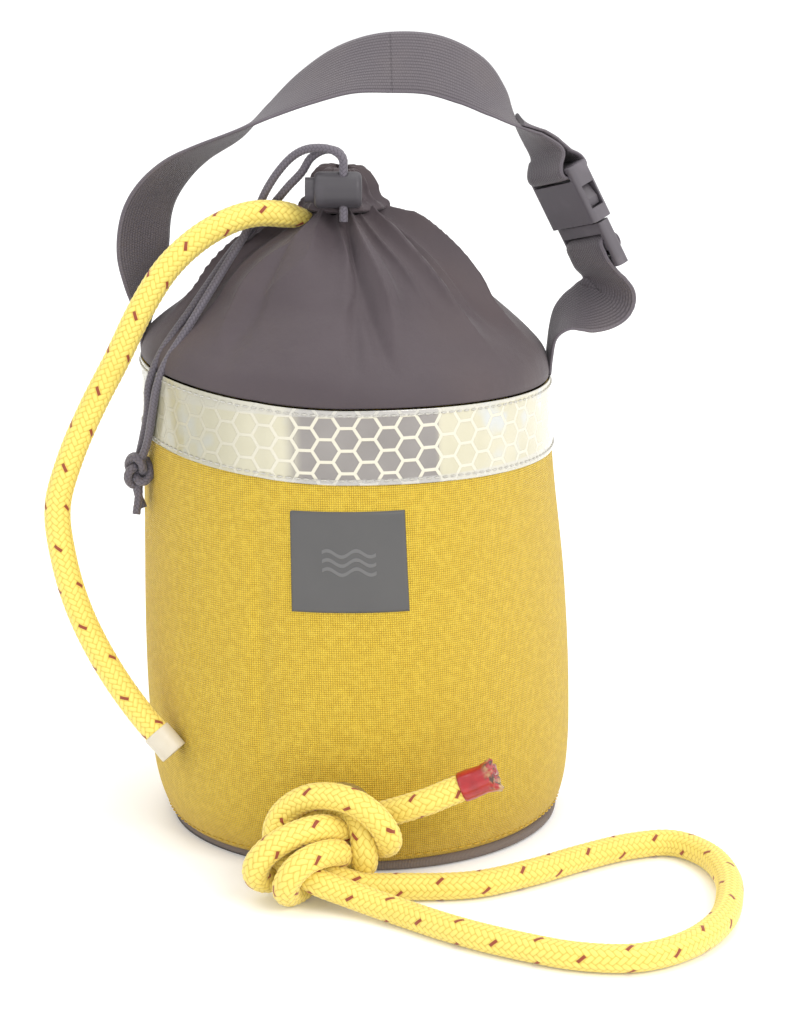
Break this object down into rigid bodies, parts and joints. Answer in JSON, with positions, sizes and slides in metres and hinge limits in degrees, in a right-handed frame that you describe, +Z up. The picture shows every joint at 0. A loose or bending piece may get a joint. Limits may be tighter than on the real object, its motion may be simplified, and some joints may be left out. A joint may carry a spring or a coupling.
{
  "type": "throw rope bag",
  "caption": "Round cloth throw bag with a gathered top, webbing handle with side-release buckle, stuffed floating line, knotted hand loop and drawcord with a spring lock.",
  "frame": {"origin": "centre of the base panel's underside", "axes": "+Z up through the bag, -Y towards the patch and the knot, +X towards the buckle"},
  "size_m": [0.2474, 0.2452, 0.2918],
  "materials": {
    "yellow_cloth": "coarse plain weave, coated inside",
    "grey_binding": "ribbed binding tape",
    "black_coated": "coated cloth",
    "reflective_tape": "glossy honeycomb reflective film",
    "grey_patch": "smooth moulded patch",
    "dark_nylon": "light nylon cloth",
    "foam": "closed cell foam",
    "grommet_metal": "rolled edge",
    "yellow_rope": "braided floating line with red tracers",
    "red_wrap": "whipping dipped in red",
    "white_sleeve": "shrink sleeve",
    "dark_cord": "braided cord",
    "lock_plastic": "moulded",
    "spring_steel": "drawn wire",
    "dark_webbing": "ribbed nylon webbing",
    "buckle_plastic": "moulded, satin"
  },
  "bodies": {
    "bag": {"base_panel": "black_coated", "base_binding": "grey_binding", "wall_panel": "yellow_cloth", "back_seam": "yellow_cloth", "reflective_band": "reflective_tape", "label_patch": "grey_patch", "crown": "dark_nylon", "neck_channel": "dark_nylon", "foam_disc": "foam", "line_grommet": "grommet_metal", "grommet_washer": "grommet_metal", "rope_pile": "yellow_rope", "rope_standing": "yellow_rope", "rope_knot": "yellow_rope", "rope_loop": "yellow_rope", "knot_tail": "yellow_rope", "tail_tape": "red_wrap", "rope_tail": "yellow_rope", "tail_sleeve": "white_sleeve", "drawcord_front": "dark_cord", "drawcord_back": "dark_cord", "drawcord_knot": "dark_cord", "strap_anchor_left": "dark_webbing", "strap_anchor_right": "dark_webbing"},
    "handle": {"strap_long": "dark_webbing", "strap_short": "dark_webbing", "buckle_insert": "buckle_plastic"},
    "socket": {"strap_end": "dark_webbing", "buckle_socket": "buckle_plastic"},
    "arm_back": {"buckle_arm_back": "buckle_plastic"},
    "arm_front": {"buckle_arm_front": "buckle_plastic"},
    "cord_lock": {"cord_lock_barrel": "lock_plastic", "cord_lock_spring": "spring_steel"},
    "plunger": {"cord_lock_plunger": "lock_plastic"}
  },
  "joints": [
    {"name": "handle_fold", "type": "hinge", "parent": "bag", "child": "handle", "pos_m": [0, 0.004, 0.184], "axis": [1, 0, 0], "range_deg": [-60, 0], "deforming": ["strap_anchor_left", "strap_anchor_right"]},
    {"name": "buckle_release", "type": "slide", "parent": "handle", "child": "socket", "axis": [-0.4462, 0, 0.8949], "range_m": [0, 0.02], "deforming": ["strap_end", "buckle_arm_back", "buckle_arm_front"]},
    {"name": "arm_back_press", "type": "hinge", "parent": "handle", "child": "arm_back", "pos_m": [0.07727, 0.01309, 0.22173], "axis": [0.775, 0.5, 0.3864], "range_deg": [0, 13], "stiffness_Nm_per_rad": 0.1},
    {"name": "arm_front_press", "type": "hinge", "parent": "handle", "child": "arm_front", "pos_m": [0.08666, -0.00509, 0.22642], "axis": [-0.775, -0.5, -0.3864], "range_deg": [0, 13], "stiffness_Nm_per_rad": 0.1},
    {"name": "cord_lock_slide", "type": "slide", "parent": "bag", "child": "cord_lock", "axis": [0, 0, 1], "range_m": [0, 0.004]},
    {"name": "plunger_press", "type": "slide", "parent": "cord_lock", "child": "plunger", "axis": [1, 0, 0], "range_m": [0, 0.002], "stiffness_N_per_m": 900, "deforming": ["cord_lock_spring"]}
  ],
  "couplings": [
    {"joint": "arm_front_press", "follows": "arm_back_press", "ratio": 1}
  ]
}
